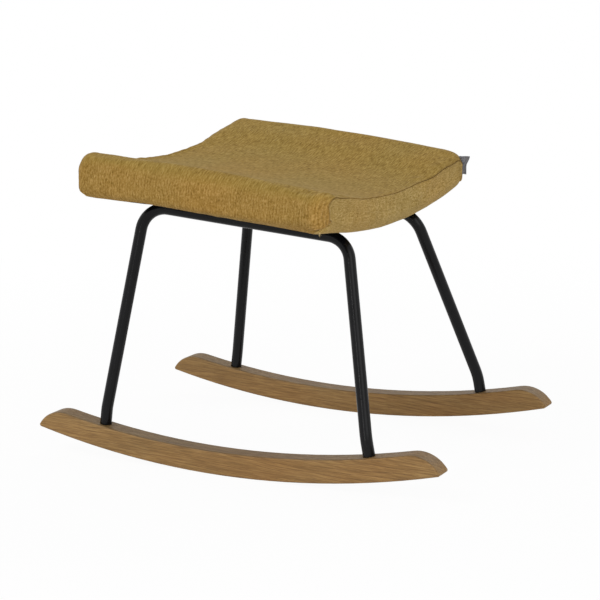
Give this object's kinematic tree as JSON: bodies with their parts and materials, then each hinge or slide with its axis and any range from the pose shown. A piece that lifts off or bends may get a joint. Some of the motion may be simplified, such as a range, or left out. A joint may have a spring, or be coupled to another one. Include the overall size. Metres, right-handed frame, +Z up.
{
  "type": "rocking footstool",
  "caption": "Low rocking footstool: a saddle-shaped upholstered seat on bent round steel tubes with splayed legs, standing on curved solid wood rockers.",
  "frame": {"origin": "on the floor, under the middle of the stool, halfway between the rockers and between their tips", "axes": "+X along the rockers from the seat's high end to its low end; +Y across, to the left rocker; +Z up"},
  "size_m": [0.6166, 0.4296, 0.4263],
  "materials": {
    "rocker_wood": "oiled, satin, grain along the rocker",
    "frame_paint": "black satin powder coat",
    "steel_fastener": "zinc plated",
    "pad_rubber": "matt",
    "shell_plywood": "bare bent plywood",
    "foam": "cut foam",
    "cover_fabric": "ribbed chenille weave, mottled ochre",
    "panel_fabric": "chenille weave, mottled ochre",
    "dust_cloth": "black non-woven",
    "label_ribbon": "blank grey woven ribbon"
  },
  "bodies": {
    "root": {"cross_bar_high": "frame_paint", "cross_bar_low": "frame_paint", "dust_cover": "dust_cloth", "end_panel_high": "panel_fabric", "end_panel_low": "panel_fabric", "foam_pad": "foam", "label_tag": "label_ribbon", "leg_frame_left": "frame_paint", "leg_frame_right": "frame_paint", "leg_plugs": "steel_fastener", "rocker_bolts": "steel_fastener", "rocker_left": "rocker_wood", "rocker_right": "rocker_wood", "rocker_washers": "steel_fastener", "seat_bolts": "steel_fastener", "seat_cover": "cover_fabric", "seat_pads": "pad_rubber", "seat_shell": "shell_plywood", "seat_washers": "steel_fastener", "staples": "steel_fastener", "t_nuts": "steel_fastener"}
  },
  "joints": []
}
